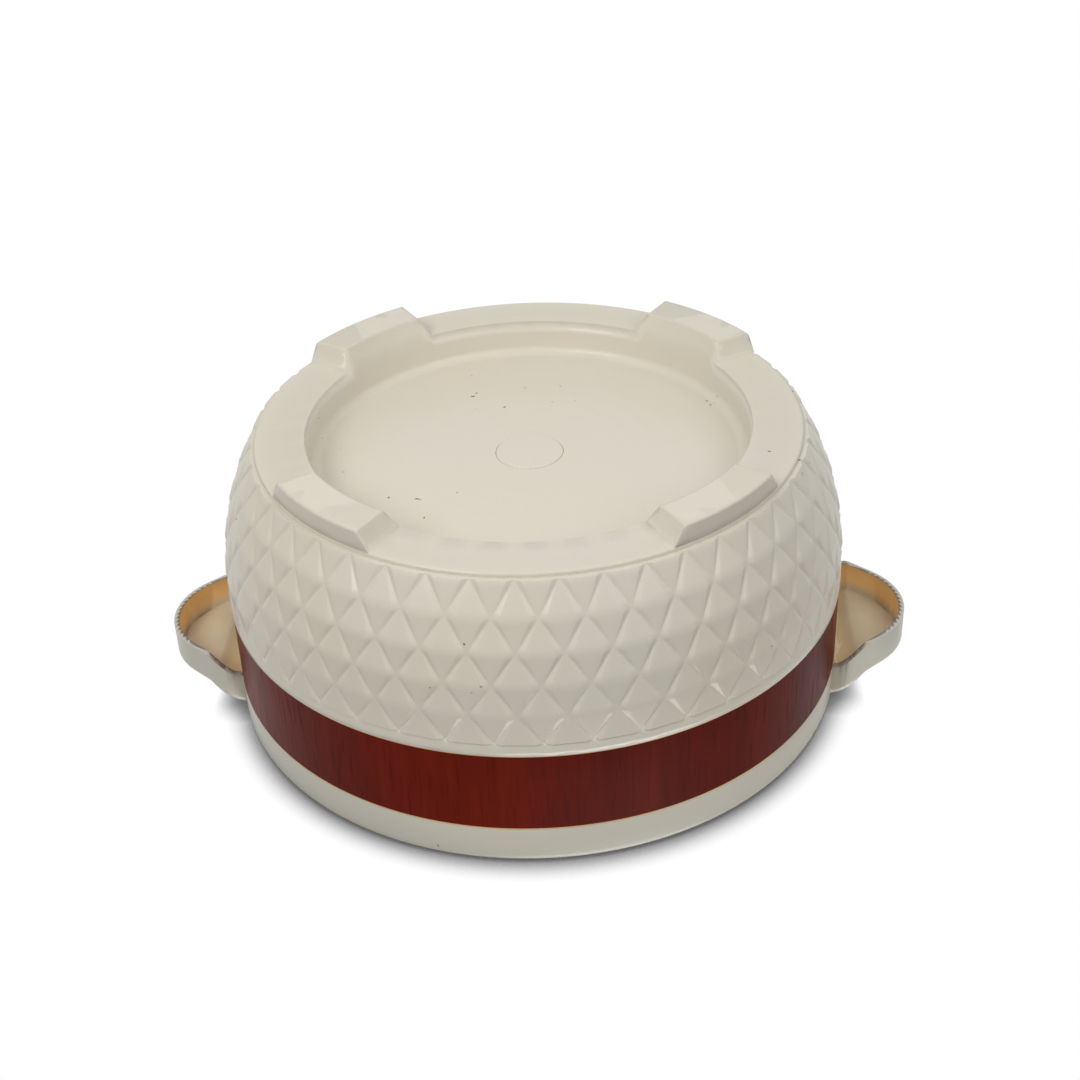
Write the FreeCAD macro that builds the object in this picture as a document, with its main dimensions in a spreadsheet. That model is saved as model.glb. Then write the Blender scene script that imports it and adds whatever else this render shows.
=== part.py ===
import FreeCAD, Part
import math
import os
import Sketcher

# Insulated casserole for flat breads, standing upright on its four feet.
# Millimetres. Z is up, the origin is the centre of the plane under the feet,
# and X runs through the two ear handles.

doc = FreeCAD.newDocument("casserole")
sheet = doc.addObject("Spreadsheet::Sheet", "Sizes")

# Driving dimensions: alias, value
SIZES = [
    ("rim_height", 115.6),
    ("foot_height", 7.0),
    ("foot_span", 25.0),
    ("foot_draft", 2.5),
    ("foot_taper", 3.4),
    ("foot_round", 1.2),
    ("sole_inset", 0.4),
    ("ring_inset", 16.0),
    ("ring_step", 1.7),
    ("ring_round", 1.0),
    ("ring_land", 18.0),
    ("recess_depth", 13.3),
    ("recess_taper", 2.0),
    ("recess_round", 4.0),
    ("shell_wall", 2.2),
    ("belly_swell", 0.3),
    ("belly_height", 60.0),
    ("belly_arc", 97.8),
    ("facet_count", 44),
    ("facet_turn", 0.12),
    ("facet_rows", 5),
    ("facet_pitch", 10.96),
    ("facet_relief", 1.1),
    ("facet_proud", 0.2),
    ("facet_share", 0.82),
    ("lip_height", 4.8),
    ("lip_inset", 0.8),
    ("lip_swell", 0.1),
    ("band_radius", 115.0),
    ("band_thickness", 1.4),
    ("band_height", 32.1),
    ("collar_land", 9.0),
    ("collar_round", 3.6),
    ("collar_ledge", 6.8),
    ("collar_plate", 2.5),
    ("spigot_height", 6.0),
    ("ear_reach", 26.6),
    ("ear_tip_round", 28.0),
    ("ear_flank_angle", 41.0),
    ("ear_shoulder", 3.0),
    ("ear_root_angle", 41.0),
    ("ear_shoulder_round", 7.0),
    ("ear_root_depth", 12.0),
    ("ear_ramp_in", 4.5),
    ("ear_ramp_out", 9.0),
    ("ear_ramp_sway", 0.3),
    ("ear_sink", 1.08),
    ("ear_bite", 1.8),
    ("ear_drop", 11.0),
    ("ear_skirt", 13.3),
    ("ear_wall", 2.0),
    ("ear_edge_round", 2.0),
    ("ear_round_lead", 3.0),
    ("mouth_inset", 16.5),
    ("bowl_taper", 12.5),
    ("bowl_floor_height", 31.0),
    ("bowl_corner", 16.0),
    ("bowl_wall", 0.8),
    ("bowl_flange", 6.7),
    ("plug_radius", 12.4),
    ("plug_proud", 0.4),
    ("plug_round", 0.6),
    ("plug_stem_radius", 8.0),
    ("plug_stem_gap", 2.5),
    ("lid_edge", 2.6),
    ("lid_bevel", 2.0),
    ("lid_dome", 23.0),
    ("lid_wall", 2.2),
    ("skirt_clearance", 1.7),
    ("lid_skirt_depth", 6.0),
    ("liner_wall", 0.7),
    ("liner_lip", 3.0),
    ("knob_radius", 19.0),
    ("knob_neck_radius", 9.0),
    ("knob_height", 17.0),
    ("knob_cap", 9.0),
    ("knob_sink", 0.8),
    ("knob_round", 3.5),
    ("knob_under_round", 3.0),
    ("knob_neck_round", 2.5),
    ("screw_radius", 2.4),
    ("screw_head_radius", 6.0),
    ("screw_head", 2.2),
    ("screw_reach", 12.0),
    ("snug_gap", 0.1),
    ("lid_gap", 0.4),
    ("seat_gap", 0.3),
]
for row, (alias, value) in enumerate(SIZES, start=1):
    sheet.set("A%d" % row, alias)
    sheet.set("B%d" % row, str(value))
    sheet.setAlias("B%d" % row, alias)
doc.recompute()


# Radii and heights that several pieces share, each from the sheet
BELLY = "band_radius + belly_swell"
RING = "band_radius - ring_inset"
RECESS = RING + " - ring_land"
COLLAR_TOP = "band_radius - collar_land"
EAR_TIP = "band_radius + ear_reach"
EAR_SHOULDER = "band_radius + ear_shoulder"
MOUTH = "band_radius - mouth_inset"
BOWL_FLOOR = MOUTH + " - bowl_taper"
FLANGE = MOUTH + " + bowl_flange"
LID_SKIRT = MOUTH + " - skirt_clearance"
BAND_LOW = "foot_height + ring_step + facet_rows * facet_pitch + lip_height"
BAND_HIGH = BAND_LOW + " + band_height"
LEDGE = "rim_height - collar_ledge"
RECESS_FLOOR = "foot_height + recess_depth"
LID_BASE = LEDGE + " + bowl_wall + seat_gap"
KNOB_BASE = LID_BASE + " + lid_edge + lid_bevel + lid_dome - knob_sink"
KNOB_TOP = KNOB_BASE + " + knob_height"
SCREW_TOP = KNOB_BASE + " + screw_reach"
HEAD_TOP = LID_BASE + " + lid_edge + lid_bevel + lid_dome - lid_wall - snug_gap"
LINER_OUT = LID_SKIRT + " - lid_wall - snug_gap"
LINER_LOW = LID_BASE + " - lid_skirt_depth + snug_gap"


def size(alias):
    return float(getattr(sheet, alias))


def vec(x, y, z):
    return FreeCAD.Vector(x, y, z)


# Revolved pieces: a sketch polygon whose corners are bound to the sheet, turned about Z
def turned_body(name, corners, rounds=()):
    body = doc.addObject("PartDesign::Body", name)
    sketch = body.newObject("Sketcher::SketchObject", name + "_profile")
    plane = [f for f in body.Origin.OriginFeatures if f.Role == "XZ_Plane"][0]
    sketch.AttachmentSupport = [(plane, "")]
    sketch.MapMode = "FlatFace"
    places = [(evaluate(r), evaluate(z)) for r, z in corners]
    last = len(places) - 1
    for i, (r, z) in enumerate(places):
        r_next, z_next = places[0 if i == last else i + 1]
        sketch.addGeometry(Part.LineSegment(vec(r, z, 0), vec(r_next, z_next, 0)), False)
    for i in range(len(places)):
        before = last if i == 0 else i - 1
        sketch.addConstraint(Sketcher.Constraint("Coincident", before, 2, i, 1))
    for i, (r_text, z_text) in enumerate(corners):
        bind_corner(sketch, i, "X", places[i][0], r_text)
        bind_corner(sketch, i, "Y", places[i][1], z_text)
    turn = body.newObject("PartDesign::Revolution", name + "_turn")
    turn.Profile = sketch
    turn.ReferenceAxis = (sketch, ["V_Axis"])
    turn.Angle = 360.0
    doc.recompute()
    for i, (r_text, z_text, radius_text) in enumerate(rounds):
        tip = body.Tip
        names = circle_names(tip.Shape, evaluate(r_text), evaluate(z_text))
        edge_round = body.newObject("PartDesign::Fillet", "%s_round_%d" % (name, i))
        edge_round.Base = (tip, names)
        edge_round.setExpression("Radius", bound(radius_text))
        doc.recompute()
    body.Label = name
    return body


def bind_corner(sketch, index, way, place, text):
    if abs(place) < 1e-9:
        kind = "PointOnObject"
        axis = -2 if way == "X" else -1
        sketch.addConstraint(Sketcher.Constraint(kind, index, 1, axis))
        return
    number = sketch.addConstraint(Sketcher.Constraint("Distance" + way, -1, 1, index, 1, place))
    sketch.setExpression("Constraints[%d]" % number, bound(text))


# A size text is a sum of products of sheet names and numbers, such as "a * b + c - 2"
def evaluate(text):
    total = 0.0
    sign = 1.0
    product = 1.0
    for word in text.split():
        if word in ("+", "-"):
            total += sign * product
            sign = 1.0 if word == "+" else -1.0
            product = 1.0
        elif word != "*":
            product *= float(word) if word[0].isdigit() else size(word)
    return total + sign * product


def bound(text):
    words = [w if w in "+-*" or w[0].isdigit() else "Sizes." + w for w in text.split()]
    return " ".join(words)


def circle_names(shape, radius, height):
    names = []
    for i, edge in enumerate(shape.Edges, start=1):
        curve = edge.Curve
        if isinstance(curve, Part.Circle):
            if abs(curve.Radius - radius) < 1e-4 and abs(curve.Center.z - height) < 1e-4:
                names.append("Edge%d" % i)
    return names


def turned_solid(outline):
    wire = Part.Wire(outline)
    return Part.Face(wire).revolve(vec(0, 0, 0), vec(0, 0, 1), 360)


def outline_of(points):
    places = [vec(r, 0, z) for r, z in points]
    places.append(places[0])
    return [Part.LineSegment(a, b).toShape() for a, b in zip(places, places[1:])]


def coded_piece(name, shape):
    piece = doc.addObject("Part::Feature", name)
    piece.Shape = shape
    piece.Label = name
    return piece


# Heights that several pieces share
def belly(z):
    arc = size("belly_arc")
    return evaluate(BELLY) - arc + math.sqrt(arc ** 2 - (z - size("belly_height")) ** 2)


def facet_low():
    return size("foot_height") + size("ring_step")


def facet_high():
    return facet_low() + size("facet_rows") * size("facet_pitch")


def band_low():
    return facet_high() + size("lip_height")


def band_high():
    return band_low() + size("band_height")


# Faceted belly: diamond tiles, each with a raised ridge across its middle
def facet_point(level, turn, radius):
    z = facet_low() + level * size("facet_pitch")
    angle = (turn + size("facet_turn")) * 2 * math.pi / size("facet_count")
    return vec(radius * math.cos(angle), radius * math.sin(angle), z)


def valley_point(level, step):
    z = facet_low() + level * size("facet_pitch")
    turn = step + 0.5 * (level % 2)
    return facet_point(level, turn, belly(z) + size("facet_proud") - size("facet_relief"))


def ridge_points(level, step):
    z = facet_low() + level * size("facet_pitch")
    middle = step + 0.5 + 0.5 * (level % 2)
    half = 0.5 * size("facet_share")
    radius = belly(z) + size("facet_proud")
    return facet_point(level, middle - half, radius), facet_point(level, middle + half, radius)


def tile_faces(level, step, rows):
    left = valley_point(level, step)
    right = valley_point(level, step + 1)
    near, far = ridge_points(level, step)
    tips = []
    if level < rows:
        tips.append(valley_point(level + 1, step + (level % 2)))
    if level > 0:
        tips.append(valley_point(level - 1, step + (level % 2)))
    faces = []
    for tip in tips:
        for a, b in ((left, near), (near, far), (far, right)):
            faces.append(Part.Face(Part.makePolygon([tip, a, b, tip])))
    return faces, [left, near, far]


def faceted_block():
    rows = int(size("facet_rows"))
    count = int(size("facet_count"))
    faces = []
    for level in range(rows + 1):
        border = []
        for step in range(count):
            tile, edge = tile_faces(level, step, rows)
            faces.extend(tile)
            border.extend(edge)
        if level in (0, rows):
            faces.append(Part.Face(Part.makePolygon(border + [border[0]])))
    shell = Part.Shell(faces)
    block = Part.Solid(shell)
    if block.Volume < 0:
        block.reverse()
    return block


# One foot: a block on the ring, its ends and inner side drafted
def foot_wire(inner, outer, half_angle, z):
    start = math.radians(-half_angle)
    end = math.radians(half_angle)

    def at(radius, angle):
        return vec(radius * math.cos(angle), radius * math.sin(angle), z)

    edges = [
        Part.Arc(at(outer, start), at(outer, 0), at(outer, end)).toShape(),
        Part.LineSegment(at(outer, end), at(inner, end)).toShape(),
        Part.Arc(at(inner, end), at(inner, 0), at(inner, start)).toShape(),
        Part.LineSegment(at(inner, start), at(outer, start)).toShape(),
    ]
    return Part.Wire(edges)


def foot():
    half = size("foot_span") / 2
    top = foot_wire(evaluate(RECESS), evaluate(RING), half + size("foot_draft"),
                    size("foot_height"))
    sole = foot_wire(evaluate(RECESS) + size("foot_taper"), evaluate(RING) - size("sole_inset"), half, 0)
    block = Part.makeLoft([sole, top], True, True)
    edges = [e for e in block.Edges if max(v.Point.z for v in e.Vertexes) < 1e-6]
    return block.makeFillet(size("foot_round"), edges)


def outer_body_shape():
    wall = size("shell_wall")
    floor = size("foot_height") + size("recess_depth")
    seat = size("band_radius") - size("band_thickness") - size("snug_gap")
    ring = turned_solid(outline_of([
        (0, size("foot_height")),
        (evaluate(RING), size("foot_height")),
        (evaluate(RING), facet_low()),
        (0, facet_low()),
    ]))
    ring = ring.makeFillet(size("ring_round"), circle_edges(ring, evaluate(RING),
                                                            size("foot_height")))
    lip_radius = evaluate(BELLY)
    lip = turned_solid(outline_of([
        (0, facet_high()),
        (lip_radius - size("lip_inset"), facet_high()),
        (lip_radius + size("lip_swell"), facet_high() + size("lip_height") / 2),
        (lip_radius, band_low()),
        (seat, band_low()),
        (seat, band_high()),
        (0, band_high()),
    ]))
    block = faceted_block().fuse([ring, lip])
    recess = turned_solid(outline_of([
        (0, 0),
        (evaluate(RECESS), 0),
        (evaluate(RECESS), size("foot_height")),
        (evaluate(RECESS) - size("recess_taper"), floor),
        (0, floor),
    ]))
    recess = recess.makeFillet(size("recess_round"), circle_edges(
        recess, evaluate(RECESS) - size("recess_taper"), floor))
    cavity = foam_space(0.0)
    plug_hole = Part.makeCylinder(size("plug_radius") + size("snug_gap"), floor + wall)
    block = block.cut([recess, cavity, plug_hole])
    feet = []
    for quarter in range(4):
        one = foot()
        one.rotate(vec(0, 0, 0), vec(0, 0, 1), 45 + 90 * quarter)
        feet.append(one)
    return block.fuse(feet).removeSplitter()


def circle_edges(shape, radius, height):
    names = circle_names(shape, radius, height)
    return [shape.Edges[int(n[4:]) - 1] for n in names]


# The room inside the outer shell, which the foam fills; gap keeps the foam off the wall
def foam_space(gap):
    wall = size("shell_wall") + gap
    floor = size("foot_height") + size("recess_depth") + wall
    ring_floor = size("foot_height") + wall
    valley = size("facet_relief") - size("facet_proud")
    low = ring_floor + size("recess_round")
    high = facet_high()
    inner_low = evaluate(RING) - wall
    recess = evaluate(RECESS) + wall
    upper = size("band_radius") - size("band_thickness") - size("snug_gap") - wall
    middle = (low + high) / 2
    points = [(belly(z) - valley - wall, z) for z in (low, middle, high)]
    arc = Part.Arc(*[vec(r, 0, z) for r, z in points]).toShape()
    under_collar = min(band_high(), evaluate(LEDGE) - size("collar_plate"))
    top = under_collar - gap if gap else band_high() + wall
    path = [
        (points[2][0], points[2][1]),
        (upper, band_low()),
        (upper, top),
        (0, top),
        (0, floor),
        (recess - size("recess_taper"), floor),
        (recess, ring_floor),
        (inner_low, ring_floor),
        (points[0][0], points[0][1]),
    ]
    edges = [arc]
    for a, b in zip(path, path[1:]):
        edges.append(Part.LineSegment(vec(a[0], 0, a[1]), vec(b[0], 0, b[1])).toShape())
    return turned_solid(Part.sortEdges(edges)[0])


# Collar with the two ears: the rim strip, the ledge for the bowl and the open-bottomed handles
def collar_ring():
    top = size("rim_height")
    ledge = top - size("collar_ledge")
    outer = size("band_radius")
    spigot = size("band_radius") - size("band_thickness") - size("shell_wall") - 3 * size("snug_gap")
    low = band_high() + size("snug_gap")
    bowl_out = evaluate(MOUTH) + size("bowl_wall") + 2 * size("snug_gap")
    ring = turned_solid(outline_of([
        (outer, low),
        (outer, top),
        (evaluate(COLLAR_TOP), top),
        (evaluate(COLLAR_TOP), ledge),
        (bowl_out, ledge),
        (bowl_out, ledge - size("collar_plate")),
        (spigot - size("shell_wall"), ledge - size("collar_plate")),
        (spigot - size("shell_wall"), low - size("spigot_height")),
        (spigot, low - size("spigot_height")),
        (spigot, low),
    ]))
    strip = min(top - low, outer - evaluate(COLLAR_TOP))
    edge_round = min(size("collar_round"), strip / 2)
    return ring.makeFillet(edge_round, circle_edges(ring, outer, top))


def ear_outline(inset):
    flank = math.radians(size("ear_flank_angle"))
    root = math.radians(size("ear_root_angle"))
    shoulder_run = size("ear_shoulder_round") * math.tan((flank + root) / 2)
    flank_run = (evaluate(EAR_TIP) - evaluate(EAR_SHOULDER)) / math.cos(flank) - shoulder_run
    per_radius = 1 / math.tan(flank) - (1 / math.sin(flank) - 1) / math.cos(flank)
    round_tip = min(size("ear_tip_round"), 0.9 * flank_run / per_radius)
    centre = evaluate(EAR_TIP) - round_tip
    apex = centre + round_tip / math.sin(flank) - inset / math.sin(flank)
    shoulder = evaluate(EAR_SHOULDER)
    shoulder_half = (centre + round_tip / math.sin(flank) - shoulder) * math.tan(flank)
    shift = inset / math.cos((flank + root) / 2)
    lean = (flank - root) / 2
    x_shoulder = shoulder - shift * math.sin(lean)
    y_shoulder = shoulder_half - shift * math.cos(lean)
    x_root = size("band_radius") - size("ear_root_depth")
    y_root = y_shoulder - (x_shoulder - x_root) * math.tan(root)
    points = [(x_root, -y_root), (x_shoulder, -y_shoulder), (apex, 0),
              (x_shoulder, y_shoulder), (x_root, y_root)]
    places = [vec(x, y, 0) for x, y in points]
    prism = Part.Face(Part.makePolygon(places + [places[0]])).extrude(vec(0, 0, size("rim_height")))
    prism = round_upright(prism, apex, 0, round_tip - inset)
    prism = round_upright(prism, x_shoulder, y_shoulder, size("ear_shoulder_round"))
    return round_upright(prism, x_shoulder, -y_shoulder, size("ear_shoulder_round"))


def round_upright(solid, x, y, radius):
    edges = [e for e in solid.Edges
             if all(abs(v.X - x) < 1e-5 and abs(v.Y - y) < 1e-5 for v in e.Vertexes)]
    return solid.makeFillet(radius, edges)


# Side view of the ear: both faces sink from the collar and then run level to the tip
def sinking_face(root_z, drop):
    root_x = size("band_radius") - size("ear_ramp_in")
    end_x = size("band_radius") + size("ear_ramp_out")
    near_x = size("band_radius") - 2 * size("ear_root_depth")
    far_x = 2 * evaluate(EAR_TIP)
    start = vec(root_x, 0, root_z)
    low = vec(end_x, 0, root_z - drop)
    sway = (end_x - root_x) * size("ear_ramp_sway")
    curve = Part.BezierCurve()
    curve.setPoles([start, vec(root_x + sway, 0, root_z), vec(end_x - sway, 0, root_z - drop), low])
    far = vec(far_x, 0, root_z - drop)
    edges = [
        curve.toShape(),
        Part.LineSegment(low, far).toShape(),
        Part.LineSegment(far, vec(far_x, 0, 0)).toShape(),
        Part.LineSegment(vec(far_x, 0, 0), vec(near_x, 0, 0)).toShape(),
        Part.LineSegment(vec(near_x, 0, 0), vec(near_x, 0, root_z)).toShape(),
        Part.LineSegment(vec(near_x, 0, root_z), start).toShape(),
    ]
    face = Part.Face(Part.Wire(edges))
    width = 2 * evaluate(EAR_TIP)
    solid = face.extrude(vec(0, width, 0))
    solid.translate(vec(0, -width / 2, 0))
    return solid


def ear():
    radius = size("band_radius")
    top = size("rim_height")
    drop = size("ear_drop")
    skirt_root = band_high() + size("snug_gap")
    wall = size("ear_wall")
    plate_top = top - size("ear_sink")
    skirt_drop = skirt_root - (plate_top - drop - size("ear_skirt"))
    block = ear_outline(0.0).common(sinking_face(plate_top, drop))
    block = block.makeFillet(size("ear_edge_round"), outer_edges(block, plate_top - drop))
    block = block.cut(sinking_face(skirt_root, skirt_drop))
    hollow = ear_outline(wall).common(sinking_face(plate_top - wall, drop))
    inner_side = Part.makeCylinder(radius - size("ear_bite"), top * 2, vec(0, 0, -top))
    hollow = hollow.cut(Part.makeCylinder(radius, top * 2, vec(0, 0, -top)))
    band_room = Part.makeCylinder(radius + size("seat_gap"), skirt_root)
    return block.cut([hollow, inner_side, band_room])


def outer_edges(block, level):
    found = []
    for edge in block.Edges:
        zs = [v.Z for v in edge.Vertexes]
        xs = [v.X for v in edge.Vertexes]
        start = size("band_radius") + size("ear_ramp_out") - size("ear_round_lead")
        if min(xs) > start and all(abs(z - level) < 1e-4 for z in zs):
            if edge.Length > 1e-3 and abs(xs[0] - xs[-1]) + abs(edge.Vertexes[0].Y) > 1e-3:
                found.append(edge)
    return [e for e in found if not is_cross_line(e)]


def is_cross_line(edge):
    ends = [v.Point for v in edge.Vertexes]
    return len(ends) == 2 and abs(ends[0].x - ends[1].x) < 1e-4 and abs(ends[0].y) > size("ear_root_depth")


def rim_ring_shape():
    ring = collar_ring()
    right = ear()
    left = ear()
    left.rotate(vec(0, 0, 0), vec(0, 0, 1), 180)
    return ring.fuse([right, left]).removeSplitter()


# Lid: a low dome on a flange that rests on the bowl's flange, inside the collar
def lid_base():
    return size("rim_height") - size("collar_ledge") + size("bowl_wall") + size("seat_gap")


def dome_start():
    return lid_base() + size("lid_edge") + size("lid_bevel")


def dome_arc(rise, radius, low):
    middle = radius / 2
    sphere = (radius ** 2 + rise ** 2) / (2 * rise)
    height = low + rise - sphere + math.sqrt(sphere ** 2 - middle ** 2)
    return Part.Arc(vec(radius, 0, low), vec(middle, 0, height), vec(0, 0, low + rise)).toShape()


def closed_turn(arc, points):
    edges = [arc]
    for a, b in zip(points, points[1:]):
        edges.append(Part.LineSegment(vec(a[0], 0, a[1]), vec(b[0], 0, b[1])).toShape())
    return turned_solid(Part.sortEdges(edges)[0])


def dome_solid(rise, radius, low, floor):
    arc = dome_arc(rise, radius, low)
    return closed_turn(arc, [(0, low + rise), (0, floor), (radius, floor), (radius, low)])


def lid_edge_radius():
    return evaluate(COLLAR_TOP) - size("lid_gap")


def skirt_inner():
    return evaluate(LID_SKIRT) - size("lid_wall")


def knob_seat():
    return dome_start() + size("lid_dome") - size("knob_sink")


def lid_cover_shape():
    base = lid_base()
    edge = lid_edge_radius()
    bevel = size("lid_bevel")
    rim = edge - bevel
    arc = dome_arc(size("lid_dome"), rim, dome_start())
    cover = closed_turn(arc, [
        (0, dome_start() + size("lid_dome")),
        (0, base - size("lid_skirt_depth")),
        (evaluate(LID_SKIRT), base - size("lid_skirt_depth")),
        (evaluate(LID_SKIRT), base),
        (edge, base),
        (edge, base + size("lid_edge")),
        (rim, dome_start()),
    ])
    hollow = lid_hollow(0.0)
    seat = Part.makeCylinder(size("knob_neck_radius") + size("snug_gap"), size("lid_dome"),
                             vec(0, 0, knob_seat()))
    hole = Part.makeCylinder(size("screw_radius") + size("snug_gap"), size("rim_height"),
                             vec(0, 0, base))
    return cover.cut([hollow, seat, hole])


# The room under the dome, inside the skirt; gap keeps the foam off the cover
def lid_hollow(gap):
    wall = size("lid_wall") + gap
    low = dome_start() - size("lid_bevel")
    rise = size("lid_dome") + size("lid_bevel") - wall
    floor = lid_base() - size("lid_skirt_depth") - size("lid_wall")
    return dome_solid(rise, skirt_inner() - gap, low, floor)


def liner_top():
    return lid_base() - size("lid_skirt_depth") + size("liner_wall") + size("snug_gap")


def lid_foam_shape():
    gap = size("snug_gap")
    foam = lid_hollow(gap)
    low = liner_top() + gap
    under = Part.makeCylinder(size("band_radius"), low, vec(0, 0, 0))
    lip_room = Part.makeCylinder(skirt_inner(), size("liner_lip"), vec(0, 0, low)).cut(
        Part.makeCylinder(skirt_inner() - 3 * gap - size("liner_wall"), size("liner_lip"),
                          vec(0, 0, low)))
    head_room = Part.makeCylinder(size("screw_head_radius") + gap, size("rim_height"),
                                  vec(0, 0, screw_head_low() - gap))
    return foam.cut([under, lip_room, head_room])


def screw_head_low():
    return dome_start() + size("lid_dome") - size("lid_wall") - size("snug_gap") - size("screw_head")


# Foam between the shell and the steel bowl
def body_foam_shape():
    gap = size("snug_gap")
    top = size("rim_height") - size("collar_ledge")
    floor = size("bowl_floor_height") - gap
    bowl_room = turned_solid(outline_of([
        (0, floor),
        (evaluate(BOWL_FLOOR) + gap, floor),
        (evaluate(MOUTH) + size("bowl_wall") + gap, top),
        (0, top),
    ]))
    bowl_room = bowl_room.makeFillet(size("bowl_corner"), circle_edges(
        bowl_room, evaluate(BOWL_FLOOR) + gap, floor))
    stem_room = Part.makeCylinder(size("plug_stem_radius") + gap, floor)
    spigot = size("band_radius") - size("band_thickness") - 2 * size("shell_wall") - 4 * gap
    collar_low = band_high() + gap - size("spigot_height") - gap
    collar_room = Part.makeCylinder(size("band_radius"), top, vec(0, 0, collar_low)).cut(
        Part.makeCylinder(spigot, top * 2))
    return foam_space(gap).cut([bowl_room, stem_room, collar_room])


coded_piece("outer_body", outer_body_shape())
coded_piece("rim_ring", rim_ring_shape())
coded_piece("body_foam", body_foam_shape())
turned_body("wood_band", [
    ("band_radius - band_thickness", BAND_LOW),
    ("band_radius", BAND_LOW),
    ("band_radius", BAND_HIGH),
    ("band_radius - band_thickness", BAND_HIGH),
])
turned_body("inner_bowl", [
    ("0", "bowl_floor_height"),
    (BOWL_FLOOR, "bowl_floor_height"),
    (MOUTH + " + bowl_wall", LEDGE),
    (FLANGE, LEDGE),
    (FLANGE, LEDGE + " + bowl_wall"),
    (MOUTH, LEDGE + " + bowl_wall"),
    (BOWL_FLOOR + " - bowl_wall", "bowl_floor_height + bowl_wall"),
    ("0", "bowl_floor_height + bowl_wall"),
], [
    (BOWL_FLOOR, "bowl_floor_height", "bowl_corner"),
    (BOWL_FLOOR + " - bowl_wall", "bowl_floor_height + bowl_wall", "bowl_corner - bowl_wall"),
])
turned_body("base_plug", [
    ("0", RECESS_FLOOR + " - plug_proud"),
    ("plug_radius", RECESS_FLOOR + " - plug_proud"),
    ("plug_radius", RECESS_FLOOR + " + shell_wall"),
    ("plug_stem_radius", RECESS_FLOOR + " + shell_wall"),
    ("plug_stem_radius", "bowl_floor_height - plug_stem_gap"),
    ("0", "bowl_floor_height - plug_stem_gap"),
], [
    ("plug_radius", RECESS_FLOOR + " - plug_proud", "plug_round"),
])
coded_piece("lid_cover", lid_cover_shape())
coded_piece("lid_foam", lid_foam_shape())
turned_body("lid_liner", [
    ("0", LINER_LOW),
    (LINER_OUT, LINER_LOW),
    (LINER_OUT, LINER_LOW + " + liner_lip"),
    (LINER_OUT + " - liner_wall", LINER_LOW + " + liner_lip"),
    (LINER_OUT + " - liner_wall", LINER_LOW + " + liner_wall"),
    ("0", LINER_LOW + " + liner_wall"),
])
turned_body("lid_knob", [
    ("screw_radius + snug_gap", KNOB_BASE),
    ("knob_neck_radius", KNOB_BASE),
    ("knob_neck_radius", KNOB_TOP + " - knob_cap"),
    ("knob_radius", KNOB_TOP + " - knob_cap"),
    ("knob_radius", KNOB_TOP),
    ("0", KNOB_TOP),
    ("0", SCREW_TOP + " + snug_gap"),
    ("screw_radius + snug_gap", SCREW_TOP + " + snug_gap"),
], [
    ("knob_radius", KNOB_TOP, "knob_round"),
    ("knob_radius", KNOB_TOP + " - knob_cap", "knob_under_round"),
    ("knob_neck_radius", KNOB_TOP + " - knob_cap", "knob_neck_round"),
])
turned_body("knob_screw", [
    ("0", HEAD_TOP + " - screw_head"),
    ("screw_head_radius", HEAD_TOP + " - screw_head"),
    ("screw_head_radius", HEAD_TOP),
    ("screw_radius", HEAD_TOP),
    ("screw_radius", SCREW_TOP),
    ("0", SCREW_TOP),
])
doc.recompute()


# Every piece is sound before anything is written
def sound(item):
    shape = item.Shape
    return not shape.isNull() and shape.isValid() and len(shape.Solids) == 1


pieces = [o for o in doc.Objects if o.TypeId in ("Part::Feature", "PartDesign::Body")]
for item in doc.Objects:
    if "Invalid" in item.State or "Error" in item.State:
        raise RuntimeError("%s did not build: %s" % (item.Label, item.State))
for piece in pieces:
    if not sound(piece):
        raise RuntimeError(piece.Label + " is not one sound solid")
os.makedirs("parts", exist_ok=True)
for piece in pieces:
    box = piece.Shape.BoundBox
    print(piece.Label, round(piece.Shape.Volume), round(box.XMax, 1), round(box.ZMin, 2),
          round(box.ZMax, 2))
    piece.Shape.exportStep("parts/%s.step" % piece.Label)
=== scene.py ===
import math

import bmesh
import bpy
from mathutils import Matrix, Vector
from mathutils.bvhtree import BVHTree


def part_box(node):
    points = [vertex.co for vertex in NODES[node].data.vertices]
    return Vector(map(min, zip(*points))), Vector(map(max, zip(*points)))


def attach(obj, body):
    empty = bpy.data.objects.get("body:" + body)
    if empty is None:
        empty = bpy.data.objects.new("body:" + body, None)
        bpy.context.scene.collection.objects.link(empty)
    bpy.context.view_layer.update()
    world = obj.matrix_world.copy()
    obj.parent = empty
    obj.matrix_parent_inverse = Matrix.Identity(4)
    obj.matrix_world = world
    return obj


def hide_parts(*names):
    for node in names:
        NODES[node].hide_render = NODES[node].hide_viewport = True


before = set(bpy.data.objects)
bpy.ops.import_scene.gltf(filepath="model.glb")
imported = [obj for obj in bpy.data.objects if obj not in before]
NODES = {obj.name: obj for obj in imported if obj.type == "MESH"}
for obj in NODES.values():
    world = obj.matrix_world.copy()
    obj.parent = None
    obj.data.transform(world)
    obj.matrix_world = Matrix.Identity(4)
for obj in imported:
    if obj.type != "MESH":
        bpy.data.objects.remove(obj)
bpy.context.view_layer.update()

bl_info = {
    "name": "Insulated Casserole",
    "version": (1, 0, 0),
    "blender": (4, 5, 0),
    "location": "3D View > Sidebar > Casserole",
    "description": "Finishes the insulated casserole and sets its light and camera",
    "category": "Object",
}

RIM_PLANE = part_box("rim_ring")[1].z
SKIRT_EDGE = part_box("rim_ring")[0].z
BAND_LOW, BAND_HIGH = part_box("wood_band")[0].z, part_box("wood_band")[1].z
BAND_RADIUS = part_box("wood_band")[1].x
RECESS_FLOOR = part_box("base_plug")[0].z
BELLY_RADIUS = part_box("outer_body")[1].x

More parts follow.
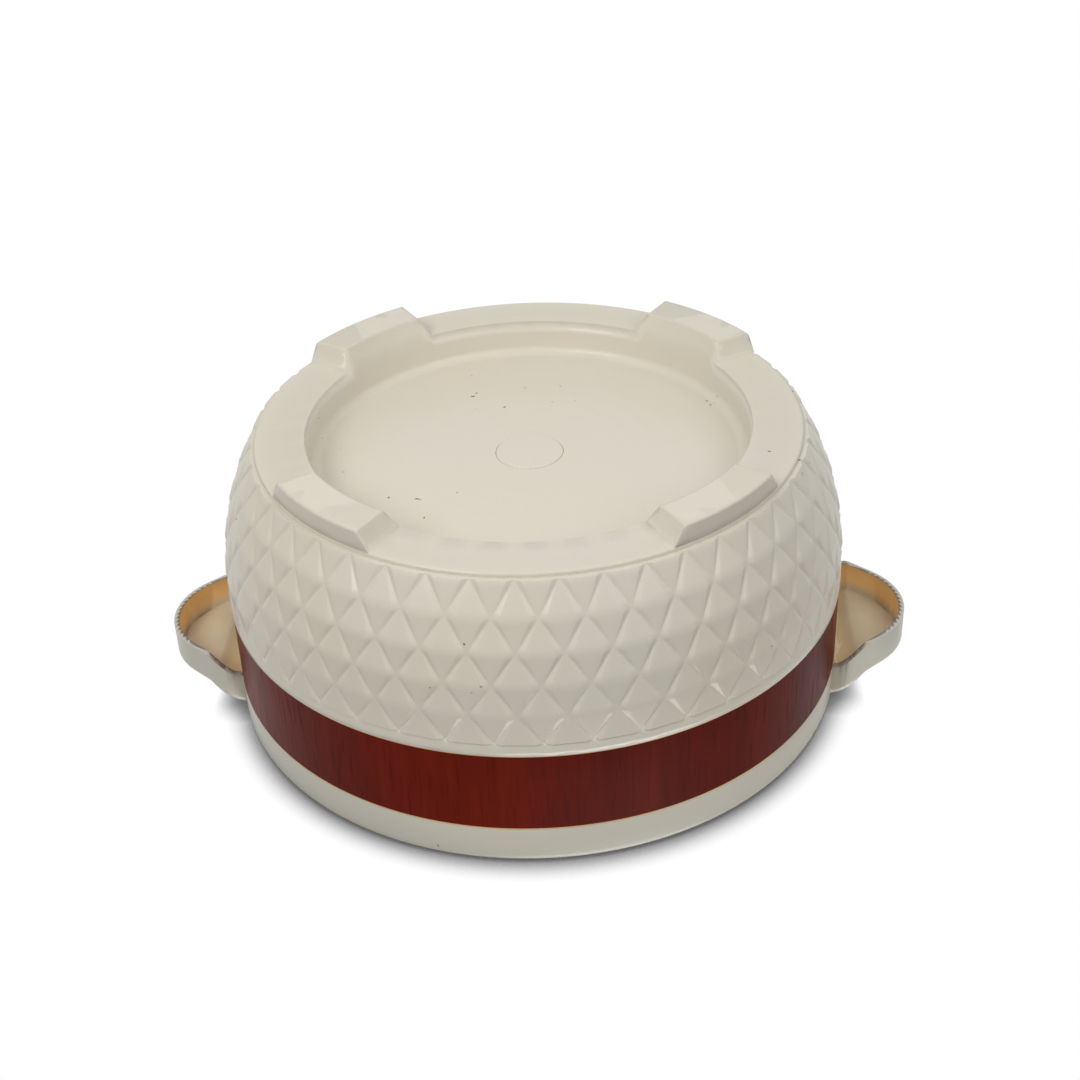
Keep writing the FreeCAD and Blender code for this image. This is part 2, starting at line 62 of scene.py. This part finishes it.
# The faceted zone of the shell, in metres
FACETS_LOW, FACETS_HIGH = 0.0088, BAND_LOW - 0.0049
BELLY_HEIGHT, BELLY_ARC = 0.060, 0.0978
BELLY_PLAY, SHELL_DEPTH = 1.06, 0.0036
ZONE_MARGIN = 0.0002
CREST_PLAY, VALLEY_DEPTHS, VALLEY_NEAR = 0.0003, (0.0008, 0.0014), 0.003

# Where the painted tan glow inside an ear begins; the two turns are limits on a face normal's Z
EAR_START, EAR_ROOT, EAR_HEART = BAND_RADIUS - 0.012, BAND_RADIUS - 0.003, BAND_RADIUS + 0.003
PLATE_TURN, WALL_TURN = -0.3, 0.5
PLATE_LOW, SKIRT_LOW, WALL_TOP = BAND_HIGH + 0.0004, SKIRT_EDGE + 0.0001, RIM_PLANE - 0.001

# World light by the height of its direction, full on the feet's side
LIGHT_FADE = (-0.55, -0.04)
FEET_LIGHT, LID_LIGHT = 0.72, 0.02

# Tones that no slider changes
WHITE = (1.0, 1.0, 1.0, 1.0)
BLACK = (0.0, 0.0, 0.0, 1.0)
SPECK = (0.16, 0.11, 0.07, 1.0)
# Painted glow: emission on the ear walls in place of light through the thin plastic
PAINTED_EAR_GLOW = (0.130, 0.070, 0.024, 1.0)
PLUG_EDGE = (0.72, 0.50, 0.20, 1.0)
DARK_TABLE = (0.12, 0.12, 0.12, 1.0)


# Sizes and colours that a user may change
class CasseroleSizes(bpy.types.PropertyGroup):
    valley_lift: bpy.props.FloatProperty(
        name="Valley lift", description="How much shallower the moulding leaves the valleys",
        default=0.00020, unit="LENGTH", subtype="DISTANCE")
    valley_spread: bpy.props.FloatProperty(
        name="Valley spread", description="How many times wider the moulding leaves the valleys",
        default=2.0, min=1.0, max=2.5)
    facet_cuts: bpy.props.IntProperty(
        name="Facet cuts", description="New edges across each facet edge, for even shading",
        default=5, min=1, max=6)
    veneer_bevel: bpy.props.FloatProperty(
        name="Veneer bevel", description="Rounding along both edges of the band",
        default=0.0003, unit="LENGTH", subtype="DISTANCE")
    edge_line: bpy.props.FloatProperty(
        name="Edge line", description="Height of the pale cut edge along the band",
        default=0.00045, unit="LENGTH", subtype="DISTANCE")
    shade_reach: bpy.props.FloatProperty(
        name="Shade reach", description="How far the contact shade spreads over the floor",
        default=0.010, unit="LENGTH", subtype="DISTANCE")
    footprint: bpy.props.FloatProperty(
        name="Footprint", description="Radius inside which the turned floor throws back no light",
        default=0.150, unit="LENGTH", subtype="DISTANCE")


class CasseroleColours(bpy.types.PropertyGroup):
    ivory: bpy.props.FloatVectorProperty(
        name="Ivory", description="Moulded plastic of the shell and lid",
        default=(0.665, 0.630, 0.535, 1.0), size=4, subtype="COLOR", min=0.0, max=1.0)
    warm_ivory: bpy.props.FloatVectorProperty(
        name="Warm ivory", description="Warmer clouds in the moulded plastic",
        default=(0.690, 0.625, 0.505, 1.0), size=4, subtype="COLOR", min=0.0, max=1.0)
    # Darker than the shell's ivory: partly the collar's own greyer tone, partly painted shade for
    # the dim rim strip where the turned base stands on the floor
    collar_ivory_and_shade: bpy.props.FloatVectorProperty(
        name="Collar ivory", description="Moulded plastic of the collar and ears",
        default=(0.565, 0.535, 0.455, 1.0), size=4, subtype="COLOR", min=0.0, max=1.0)
    # In the ear hollows tan and pale tan are painted light, standing in for warm light through the
    # thin plastic and reflected from the band; along the band tan is the cut edge's own colour
    tan: bpy.props.FloatVectorProperty(
        name="Tan", description="Thin plastic inside the ears and cut edges of the band",
        default=(0.800, 0.500, 0.200, 1.0), size=4, subtype="COLOR", min=0.0, max=1.0)
    pale_tan: bpy.props.FloatVectorProperty(
        name="Pale tan", description="Underside of the ear plates",
        default=(0.780, 0.660, 0.440, 1.0), size=4, subtype="COLOR", min=0.0, max=1.0)
    mahogany_dark: bpy.props.FloatVectorProperty(
        name="Dark mahogany", description="Darkest streaks of the wood",
        default=(0.065, 0.0045, 0.0018, 1.0), size=4, subtype="COLOR", min=0.0, max=1.0)
    mahogany_red: bpy.props.FloatVectorProperty(
        name="Red mahogany", description="Lightest streaks of the wood",
        default=(0.170, 0.012, 0.0035, 1.0), size=4, subtype="COLOR", min=0.0, max=1.0)
    steel: bpy.props.FloatVectorProperty(
        name="Steel", description="Bowl, liner and screw",
        default=(0.600, 0.595, 0.580, 1.0), size=4, subtype="COLOR", min=0.0, max=1.0)
    foam: bpy.props.FloatVectorProperty(
        name="Foam", description="Insulation between the walls",
        default=(0.720, 0.600, 0.350, 1.0), size=4, subtype="COLOR", min=0.0, max=1.0)


def sizes():
    return bpy.context.scene.casserole_sizes


def colours():
    return bpy.context.scene.casserole_colours


# Node helpers
def node(tree, kind, inputs=(), **settings):
    made = tree.nodes.new(kind)
    for name, value in settings.items():
        setattr(made, name, value)
    for name, value in dict(inputs).items():
        put(tree, made, name, value)
    return made


def put(tree, made, name, value):
    named = [s for s in made.inputs if s.enabled and (s.name == name or s.identifier == name)]
    socket = made.inputs[name] if isinstance(name, int) else named[0]
    if isinstance(value, bpy.types.NodeSocket):
        tree.links.new(value, socket)
    else:
        socket.default_value = value


def result(made):
    return [s for s in made.outputs if s.enabled][0]


def noise(tree, place, scale, detail=2.0, rough=0.5):
    return node(tree, "ShaderNodeTexNoise", {
        "Vector": place, "Scale": scale, "Detail": detail, "Roughness": rough}).outputs["Fac"]


def stretch(tree, place, scale):
    return result(node(tree, "ShaderNodeMapping", {"Vector": place, "Scale": scale}))


def maths(tree, operation, first, second=0.0):
    return result(node(tree, "ShaderNodeMath", {0: first, 1: second}, operation=operation))


def between(tree, value, low, high, out_low=0.0, out_high=1.0):
    return result(node(tree, "ShaderNodeMapRange", {
        "Value": value, "From Min": low, "From Max": high, "To Min": out_low, "To Max": out_high}))


def blend(tree, factor, first, second, how="MIX"):
    return result(node(tree, "ShaderNodeMix", {"Factor": factor, "A": first, "B": second},
                       data_type="RGBA", blend_type=how))


def group(name, inputs, outputs):
    tree = bpy.data.node_groups.new(name, "ShaderNodeTree")
    for label, kind in inputs:
        tree.interface.new_socket(label, in_out="INPUT", socket_type="NodeSocket" + kind)
    for label, kind in outputs:
        tree.interface.new_socket(label, in_out="OUTPUT", socket_type="NodeSocket" + kind)
    return tree, tree.nodes.new("NodeGroupInput").outputs, tree.nodes.new("NodeGroupOutput")


def placed(tree, effect, inputs):
    made = tree.nodes.new("ShaderNodeGroup")
    made.node_tree = shared(effect)
    for name, value in inputs.items():
        put(tree, made, name, value)
    return made.outputs


# Shared effects
def moulded_clouds():
    tree, inner, out = group("moulded_clouds", [
        ("Place", "Vector"), ("Base", "Color"), ("Warm", "Color"), ("Amount", "Float")],
        [("Color", "Color")])
    broad = between(tree, noise(tree, inner["Place"], 16.0, 3.0), 0.35, 0.68)
    share = maths(tree, "MULTIPLY", broad, inner["Amount"])
    put(tree, out, "Color", blend(tree, share, inner["Base"], inner["Warm"]))
    return tree


def moulded_specks():
    tree, inner, out = group("moulded_specks", [
        ("Place", "Vector"), ("Color", "Color")], [("Color", "Color")])
    spot = between(tree, noise(tree, inner["Place"], 520.0, 0.0), 0.835, 0.85)
    rare = between(tree, noise(tree, inner["Place"], 23.0, 1.0), 0.60, 0.62)
    mask = maths(tree, "MULTIPLY", spot, rare)
    put(tree, out, "Color", blend(tree, mask, inner["Color"], SPECK))
    return tree


def moulded_skin():
    tree, inner, out = group("moulded_skin", [("Place", "Vector")], [("Normal", "Vector")])
    fine = noise(tree, inner["Place"], 1200.0, 2.0)
    wavy = noise(tree, inner["Place"], 55.0, 1.0)
    low = node(tree, "ShaderNodeBump", {"Strength": 0.25, "Distance": 0.0006, "Height": wavy})
    top = node(tree, "ShaderNodeBump", {
        "Strength": 0.10, "Distance": 0.0001, "Height": fine, "Normal": result(low)})
    put(tree, out, "Normal", result(top))
    return tree


def wood_figure():
    tree, inner, out = group("wood_figure", [
        ("Place", "Vector"), ("Dark", "Color"), ("Red", "Color")],
        [("Color", "Color"), ("Grain", "Float")])
    broad = between(tree, noise(tree, stretch(tree, inner["Place"], (26.0, 26.0, 5.0)), 1.0, 3.0),
                    0.30, 0.68)
    streak = between(tree, noise(tree, stretch(
        tree, inner["Place"], (210.0, 210.0, 14.0)), 1.0, 3.0, 0.6), 0.25, 0.70)
    pores = between(tree, noise(tree, stretch(
        tree, inner["Place"], (900.0, 900.0, 60.0)), 1.0, 1.0), 0.30, 0.42, 0.72, 1.0)
    tone = blend(tree, broad, inner["Dark"], inner["Red"])
    tone = blend(tree, maths(tree, "MULTIPLY", streak, 0.45), tone, inner["Dark"])
    put(tree, out, "Color", blend(tree, 1.0, tone, pores, "MULTIPLY"))
    put(tree, out, "Grain", pores)
    return tree


SHARED = {}


def shared(name):
    makers = {"clouds": moulded_clouds, "specks": moulded_specks, "skin": moulded_skin,
              "wood": wood_figure}
    if name not in SHARED:
        SHARED[name] = makers[name]()
    return SHARED[name]


# Finishes
def finish_start(name, **sockets):
    material = bpy.data.materials.new(name)
    material.use_nodes = True
    tree = material.node_tree
    tree.nodes.clear()
    shader = tree.nodes.new("ShaderNodeBsdfPrincipled")
    for label, value in sockets.items():
        shader.inputs[label.replace("_", " ")].default_value = value
    output = tree.nodes.new("ShaderNodeOutputMaterial")
    tree.links.new(shader.outputs[0], output.inputs["Surface"])
    place = tree.nodes.new("ShaderNodeTexCoord").outputs["Object"]
    return material, tree, shader, place


def ivory_finish(name, base, amount, ripples=False):
    material, tree, shader, place = finish_start(
        name, Roughness=0.36, Coat_Weight=0.12, Coat_Roughness=0.12, Specular_IOR_Level=0.4)
    colour = placed(tree, "clouds", {
        "Place": place, "Base": base[:], "Warm": colours().warm_ivory[:], "Amount": amount})[0]
    colour = placed(tree, "specks", {"Place": place, "Color": colour})[0]
    normal = placed(tree, "skin", {"Place": place})[0]
    if ripples:
        ring = node(tree, "ShaderNodeTexWave", {
            "Vector": place, "Scale": 38.0, "Distortion": 1.6, "Detail": 1.0},
            wave_type="RINGS", rings_direction="Z")
        parts = node(tree, "ShaderNodeSeparateXYZ", {0: place}).outputs
        inside = between(tree, parts["Z"], RECESS_FLOOR + 0.0012, RECESS_FLOOR + 0.0002)
        height = maths(tree, "MULTIPLY", ring.outputs["Fac"], inside)
        normal = result(node(tree, "ShaderNodeBump", {
            "Strength": 0.10, "Distance": 0.0006, "Height": height, "Normal": normal}))
    put(tree, shader, "Base Color", colour)
    put(tree, shader, "Normal", normal)
    return material


def ear_hollow_finish():
    material, tree, shader, place = finish_start(
        "ear_hollow", Roughness=0.45, Specular_IOR_Level=0.25, Emission_Strength=1.0)
    parts = node(tree, "ShaderNodeSeparateXYZ", {0: place}).outputs
    # Painted light: the hollow's tan tones and the emission glow on its walls stand in for warm
    # light through the thin plastic and reflected from the band
    deep = between(tree, parts["Z"], BAND_HIGH - 0.004, BAND_HIGH + 0.001)
    tone = blend(tree, deep, colours().tan[:], colours().pale_tan[:])
    put(tree, shader, "Emission Color", blend(tree, deep, PAINTED_EAR_GLOW, BLACK))
    cloud = between(tree, noise(tree, place, 40.0, 2.0), 0.3, 0.7, 0.9, 1.05)
    put(tree, shader, "Base Color", blend(tree, 1.0, tone, cloud, "MULTIPLY"))
    put(tree, shader, "Normal", placed(tree, "skin", {"Place": place})[0])
    return material


def plug_finish():
    material, tree, shader, place = finish_start("ivory_plug", Roughness=0.32, Coat_Weight=0.15,
                                                 Specular_IOR_Level=0.4)
    colour = placed(tree, "clouds", {
        "Place": place, "Base": colours().ivory[:], "Warm": colours().warm_ivory[:],
        "Amount": 0.4})[0]
    parts = node(tree, "ShaderNodeSeparateXYZ", {0: place}).outputs
    side = between(tree, parts["Z"], RECESS_FLOOR + 0.00015, RECESS_FLOOR + 0.0006)
    put(tree, shader, "Base Color", blend(tree, side, colour, PLUG_EDGE))
    put(tree, shader, "Normal", placed(tree, "skin", {"Place": place})[0])
    return material


def mahogany_finish(name, edge_line):
    material, tree, shader, place = finish_start(
        name, Roughness=0.34, Specular_IOR_Level=0.04)
    wood = placed(tree, "wood", {
        "Place": place, "Dark": colours().mahogany_dark[:], "Red": colours().mahogany_red[:]})
    colour = wood["Color"]
    if edge_line:
        height = node(tree, "ShaderNodeSeparateXYZ", {0: place}).outputs["Z"]
        line = sizes().edge_line
        low = between(tree, height, BAND_LOW + line * 1.3, BAND_LOW + line * 0.9)
        high = between(tree, height, BAND_HIGH - line * 1.3, BAND_HIGH - line * 0.9)
        colour = blend(tree, maths(tree, "MAXIMUM", low, high), colour, colours().tan[:])
    put(tree, shader, "Base Color", colour)
    put(tree, shader, "Roughness", between(tree, wood["Grain"], 0.72, 1.0, 0.46, 0.34))
    put(tree, shader, "Normal", result(node(tree, "ShaderNodeBump", {
        "Strength": 0.15, "Distance": 0.0001, "Height": wood["Grain"]})))
    return material


def steel_finish(name):
    material, tree, shader, place = finish_start(name, Metallic=1.0)
    brushed = noise(tree, stretch(tree, place, (25.0, 25.0, 1400.0)), 1.0, 3.0)
    tone = between(tree, brushed, 0.3, 0.7, 0.88, 1.08)
    put(tree, shader, "Base Color", blend(tree, 1.0, colours().steel[:], tone, "MULTIPLY"))
    put(tree, shader, "Roughness", between(tree, brushed, 0.2, 0.8, 0.20, 0.34))
    put(tree, shader, "Normal", result(node(tree, "ShaderNodeBump", {
        "Strength": 0.08, "Distance": 0.0001, "Height": brushed})))
    return material


def foam_finish():
    material, tree, shader, place = finish_start(
        "insulating_foam", Roughness=0.95, Specular_IOR_Level=0.1)
    cells = node(tree, "ShaderNodeTexVoronoi", {"Vector": place, "Scale": 650.0})
    tone = between(tree, cells.outputs["Distance"], 0.0, 0.7, 0.78, 1.08)
    put(tree, shader, "Base Color", blend(tree, 1.0, colours().foam[:], tone, "MULTIPLY"))
    put(tree, shader, "Normal", result(node(tree, "ShaderNodeBump", {
        "Strength": 0.4, "Distance": 0.0004, "Height": cells.outputs["Distance"]})))
    return material


def dress(name, material):
    mesh = NODES[name].data
    mesh.materials.clear()
    mesh.materials.append(material)


# Piece helpers
def new_object(name, data):
    piece = bpy.data.objects.new(name, data)
    bpy.context.scene.collection.objects.link(piece)
    return piece


def mesh_from(bm, name):
    mesh = bpy.data.meshes.new(name)
    bm.to_mesh(mesh)
    bm.free()
    return mesh


def merged_copy(name):
    bm = bmesh.new()
    bm.from_mesh(NODES[name].data)
    bmesh.ops.remove_doubles(bm, verts=bm.verts, dist=2e-6)
    return bm


def finished_piece(bm, name, node_name, body, materials, sharp=30.0):
    mesh = mesh_from(bm, name)
    mesh.shade_smooth()
    mesh.set_sharp_from_angle(angle=math.radians(sharp))
    for material in materials:
        mesh.materials.append(material)
    piece = new_object(name, mesh)
    even = piece.modifiers.new("even_normals", "WEIGHTED_NORMAL")
    even.keep_sharp = True
    even.weight = 100
    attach(piece, body)
    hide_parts(node_name)
    return piece


def from_axis(point):
    return math.hypot(point.x, point.y)


class CASSEROLE_OT_shell(bpy.types.Operator):
    """Widens the valleys between the diamond facets, as a mould leaves them"""
    bl_idname = "casserole.shell"
    bl_label = "Faceted shell"

    def execute(self, context):
        bm = merged_copy("outer_body")
        rows = {}
        for vert in filter(self.on_facets, bm.verts):
            rows.setdefault(round(vert.co.z, 4), []).append(vert)
        for row in rows.values():
            self.open_valleys(row)
        edges = [e for e in bm.edges if all(map(self.on_facets, e.verts))]
        bmesh.ops.subdivide_edges(bm, edges=edges, cuts=sizes().facet_cuts, use_grid_fill=True)
        finished_piece(bm, "faceted_shell", "outer_body", "base",
                       [ivory_finish("ivory_shell", colours().ivory, 0.6, ripples=True)])
        return {"FINISHED"}

    def on_facets(self, vert):
        z = vert.co.z
        bulge = (z - BELLY_HEIGHT) ** 2 / (2 * BELLY_ARC) * BELLY_PLAY
        inside = BELLY_RADIUS - SHELL_DEPTH - bulge
        in_height = FACETS_LOW - ZONE_MARGIN < z < FACETS_HIGH + ZONE_MARGIN
        return in_height and from_axis(vert.co) > inside

    def open_valleys(self, row):
        crest = max(from_axis(v.co) for v in row)
        shallow, deep = VALLEY_DEPTHS
        valleys = [v for v in row if shallow < crest - from_axis(v.co) < deep]
        ends = [v for v in row if crest - from_axis(v.co) < CREST_PLAY]
        for vert in ends:
            near = min(valleys, key=lambda v: (v.co - vert.co).length, default=None)
            if near and (near.co - vert.co).length < VALLEY_NEAR:
                turn = near.co.xy.angle_signed(vert.co.xy) * (1 - sizes().valley_spread)
                vert.co = Matrix.Rotation(turn, 3, "Z") @ vert.co
        for vert in valleys:
            more = 1 + sizes().valley_lift / from_axis(vert.co)
            vert.co = (vert.co.x * more, vert.co.y * more, vert.co.z)


class CASSEROLE_OT_collar(bpy.types.Operator):
    """Finishes the rim collar and gives the hollow under each ear a tan inside and a glow, both
    painted light
    """
    bl_idname = "casserole.collar"
    bl_label = "Rim collar and ears"

    def execute(self, context):
        bm = merged_copy("rim_ring")
        solid = BVHTree.FromBMesh(bm)
        for face in bm.faces:
            middle = face.calc_center_median()
            # Plastic above the face tells the hollow from the ear's upper side
            roof = solid.ray_cast(middle + face.normal * 0.0002, Vector((0.0, 0.0, 1.0)))[0]
            hollow = roof is not None and self.in_hollow(middle, face.normal)
            face.material_index = 1 if hollow else 0
        # The collar's darker ivory is partly its own greyer tone and partly painted shade for the
        # dim rim strip
        finished_piece(bm, "rim_collar", "rim_ring", "base",
                       [ivory_finish("ivory_collar", colours().collar_ivory_and_shade, 0.15),
                        ear_hollow_finish()])
        return {"FINISHED"}

    def in_hollow(self, middle, normal):
        if abs(middle.x) < EAR_START or from_axis(middle) < EAR_ROOT:
            return False
        if normal.z < PLATE_TURN:
            return middle.z > PLATE_LOW
        if abs(normal.z) > WALL_TURN or middle.z < SKIRT_LOW or middle.z > WALL_TOP:
            return False
        heart = Vector((math.copysign(EAR_HEART, middle.x), 0.0, middle.z))
        return normal.dot(heart - middle) > 0


class CASSEROLE_OT_band(bpy.types.Operator):
    """Spins the mahogany band as a closed ring with softened edges"""
    bl_idname = "casserole.band"
    bl_label = "Mahogany band"

    def execute(self, context):
        low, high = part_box("wood_band")
        inner = min(from_axis(v.co) for v in NODES["wood_band"].data.vertices)
        bm = bmesh.new()
        corners = [(inner, low.z), (high.x, low.z), (high.x, high.z), (inner, high.z)]
        verts = [bm.verts.new((r, 0.0, z)) for r, z in corners]
        edges = [bm.edges.new((verts[i], verts[i - 1])) for i in range(len(verts))]
        bmesh.ops.spin(bm, geom=verts + edges, cent=(0, 0, 0), axis=(0, 0, 1), steps=256,
                       angle=2 * math.pi, use_merge=True)
        bmesh.ops.remove_doubles(bm, verts=bm.verts, dist=1e-6)
        bmesh.ops.recalc_face_normals(bm, faces=bm.faces)
        rims = [e for e in bm.edges if e.calc_face_angle(0.0) > 1.0]
        bmesh.ops.bevel(bm, geom=rims, offset=sizes().veneer_bevel, offset_type="OFFSET",
                        segments=2, profile=0.5, affect="EDGES", material=-1)
        finished_piece(bm, "mahogany_band", "wood_band", "base",
                       [mahogany_finish("mahogany_band", True)], 50.0)
        return {"FINISHED"}


class CASSEROLE_OT_lid(bpy.types.Operator):
    """Finishes the domed lid and its knob"""
    bl_idname = "casserole.lid"
    bl_label = "Lid and knob"

    def execute(self, context):
        finished_piece(merged_copy("lid_cover"), "domed_lid", "lid_cover", "lid",
                       [ivory_finish("ivory_lid", colours().ivory, 0.4)])
        finished_piece(merged_copy("lid_knob"), "turned_knob", "lid_knob", "lid",
                       [mahogany_finish("mahogany_knob", False)])
        return {"FINISHED"}


class CASSEROLE_OT_inside(bpy.types.Operator):
    """Finishes the steel bowl, liner and screw, the foam and the filling plug"""
    bl_idname = "casserole.inside"
    bl_label = "Steel, foam and plug"

    def execute(self, context):
        finished_piece(merged_copy("inner_bowl"), "steel_bowl", "inner_bowl", "base",
                       [steel_finish("bowl_steel")])
        for name in ("lid_liner", "knob_screw"):
            dress(name, steel_finish(name + "_steel"))
        foam = foam_finish()
        for name in ("body_foam", "lid_foam"):
            dress(name, foam)
        dress("base_plug", plug_finish())
        return {"FINISHED"}


# Stage: the photograph shows the base turned over, so its up is the row frame's -Z
TURN = math.radians(2.9)


def row_from_photo():
    return Matrix(((-1, 0, 0), (0, 1, 0), (0, 0, -1))) @ Matrix.Rotation(TURN, 3, "Z")


def row_place(photo_place):
    return row_from_photo() @ Vector(photo_place) + Vector((0.0, 0.0, BAND_HIGH))


def photo_camera():
    lens, distance, elevation = 57.94, 0.68210, math.radians(36.0)
    pan, tilt, roll = -0.003723, 0.050642, 0.044927
    place = Vector((0.0, -distance * math.cos(elevation), distance * math.sin(elevation)))
    ahead = -place.normalized()
    right = Vector((1.0, 0.0, 0.0))
    aim = (Matrix.Rotation(roll, 3, "Z") @ Matrix.Rotation(tilt, 3, "X")
           @ Matrix.Rotation(pan, 3, "Y") @ Matrix((right, right.cross(ahead), ahead)))
    over = row_from_photo()
    matrix = Matrix((over @ aim[0], over @ aim[1], over @ -aim[2])).transposed().to_4x4()
    matrix.translation = row_place(place)
    data = bpy.data.cameras.new("photo_camera")
    data.lens = lens
    data.sensor_width = 36.0
    camera = new_object("photo_camera", data)
    camera.matrix_world = matrix
    bpy.context.scene.camera = camera


def seen_rays(tree):
    path = tree.nodes.new("ShaderNodeLightPath").outputs
    seen = maths(tree, "MAXIMUM", path["Is Camera Ray"], path["Is Glossy Ray"])
    return maths(tree, "MAXIMUM", seen, path["Is Transmission Ray"])


def shade_finish(name, reach, darkest, bounce):
    material = bpy.data.materials.new(name)
    material.use_nodes = True
    tree = material.node_tree
    tree.nodes.clear()
    clear = tree.nodes.new("ShaderNodeBsdfTransparent").outputs[0]
    dark = node(tree, "ShaderNodeEmission", {"Color": BLACK}).outputs[0]
    nearby = node(tree, "ShaderNodeAmbientOcclusion", {"Distance": reach}, samples=6)
    curve = tree.nodes.new("ShaderNodeValToRGB")
    stops = ((0.35, darkest), (0.55, darkest * 0.80), (0.80, darkest * 0.26), (1.0, 0.0))
    points = curve.color_ramp.elements
    while len(points) < len(stops):
        points.new(0.5)
    for point, (position, tone) in zip(points, stops):
        point.position = position
        point.color = (tone, tone, tone, 1.0)
    tree.links.new(nearby.outputs["AO"], curve.inputs["Fac"])
    shade = node(tree, "ShaderNodeMixShader", {0: curve.outputs["Color"], 1: clear, 2: dark})
    back = tree.nodes.new("ShaderNodeNewGeometry").outputs["Backfacing"]
    front = node(tree, "ShaderNodeMixShader", {0: back, 1: shade.outputs[0], 2: clear})
    hidden = clear
    if bounce:
        place = tree.nodes.new("ShaderNodeTexCoord").outputs["Object"]
        away = node(tree, "ShaderNodeVectorMath", {0: place}, operation="LENGTH").outputs["Value"]
        # The distance runs from the row's origin, so the floor's height adds a little
        edge = sizes().footprint + RIM_PLANE * 0.3
        outside = maths(tree, "GREATER_THAN", away, edge)
        table = node(tree, "ShaderNodeBsdfDiffuse", {"Color": DARK_TABLE}).outputs[0]
        hidden = node(tree, "ShaderNodeMixShader", {0: outside, 1: clear, 2: table}).outputs[0]
    choice = node(tree, "ShaderNodeMixShader", {0: seen_rays(tree), 1: hidden, 2: front.outputs[0]})
    output = tree.nodes.new("ShaderNodeOutputMaterial")
    tree.links.new(choice.outputs[0], output.inputs["Surface"])
    return material


def floor(name, height, facing, material):
    bm = bmesh.new()
    bmesh.ops.create_grid(bm, x_segments=1, y_segments=1, size=3.0)
    bmesh.ops.translate(bm, vec=(0.0, 0.0, height), verts=bm.verts)
    bm.normal_update()
    if bm.faces[:][0].normal.z * facing < 0:
        bmesh.ops.reverse_faces(bm, faces=bm.faces)
    plane = new_object(name, mesh_from(bm, name))
    plane.data.materials.append(material)


def lamp(name, energy, size, place, aim):
    data = bpy.data.lights.new(name, "AREA")
    data.shape = "DISK"
    data.energy = energy
    data.size = size
    light = new_object(name, data)
    light.location = place
    light.rotation_euler = (Vector(aim) - Vector(place)).to_track_quat("-Z", "Y").to_euler()


def studio_world():
    world = bpy.data.worlds.new("studio")
    world.use_nodes = True
    tree = world.node_tree
    tree.nodes.clear()
    way = tree.nodes.new("ShaderNodeTexCoord").outputs["Generated"]
    height = node(tree, "ShaderNodeSeparateXYZ", {0: way}).outputs["Z"]
    level = between(tree, height, *LIGHT_FADE, FEET_LIGHT, LID_LIGHT)
    soft = node(tree, "ShaderNodeBackground", {"Color": WHITE, "Strength": level}).outputs[0]
    white = node(tree, "ShaderNodeBackground", {"Color": WHITE}).outputs[0]
    choice = node(tree, "ShaderNodeMixShader", {0: seen_rays(tree), 1: soft, 2: white})
    output = tree.nodes.new("ShaderNodeOutputWorld")
    tree.links.new(choice.outputs[0], output.inputs["Surface"])
    bpy.context.scene.world = world


class CASSEROLE_OT_stage(bpy.types.Operator):
    """Sets the photograph's camera, the lamps, the white world and the two floors"""
    bl_idname = "casserole.stage"
    bl_label = "Stage"

    def execute(self, context):
        context.scene.view_settings.view_transform = "Standard"
        photo_camera()
        studio_world()
        reach = sizes().shade_reach
        floor("turned_floor", RIM_PLANE, -1, shade_finish("turned_shade", reach, 0.88, True))
        floor("standing_floor", 0.0, 1, shade_finish("standing_shade", reach * 1.4, 0.6, False))
        centre = (0.0, 0.0, 0.05)
        lamp("feet_side_key", 3.6, 0.45, row_place((-0.50, -0.60, 0.75)), centre)
        lamp("feet_side_fill", 2.2, 0.8, row_place((0.50, -0.52, 0.74)), centre)
        lamp("lid_side_soft", 9.0, 0.9, (-0.25, -0.35, 1.05), (0.0, 0.0, 0.12))
        return {"FINISHED"}


class CASSEROLE_PT_panel(bpy.types.Panel):
    """Lists the casserole's pieces, sizes and colours"""
    bl_idname = "CASSEROLE_PT_panel"
    bl_label = "Insulated Casserole"
    bl_space_type = "VIEW_3D"
    bl_region_type = "UI"
    bl_category = "Casserole"

    def draw(self, context):
        for operator in PIECES:
            self.layout.operator(operator.bl_idname)
        for values in (context.scene.casserole_sizes, context.scene.casserole_colours):
            box = self.layout.box()
            for name in values.__annotations__:
                box.prop(values, name)


PIECES = (CASSEROLE_OT_shell, CASSEROLE_OT_collar, CASSEROLE_OT_band, CASSEROLE_OT_lid,
          CASSEROLE_OT_inside, CASSEROLE_OT_stage)
CLASSES = (CasseroleSizes, CasseroleColours) + PIECES + (CASSEROLE_PT_panel,)


def register():
    for item in CLASSES:
        bpy.utils.register_class(item)
    bpy.types.Scene.casserole_sizes = bpy.props.PointerProperty(type=CasseroleSizes)
    bpy.types.Scene.casserole_colours = bpy.props.PointerProperty(type=CasseroleColours)


def unregister():
    del bpy.types.Scene.casserole_colours
    del bpy.types.Scene.casserole_sizes
    for item in reversed(CLASSES):
        bpy.utils.unregister_class(item)


def main():
    register()
    bpy.ops.casserole.shell()
    bpy.ops.casserole.collar()
    bpy.ops.casserole.band()
    bpy.ops.casserole.lid()
    bpy.ops.casserole.inside()
    bpy.ops.casserole.stage()


if __name__ == "__main__":
    main()
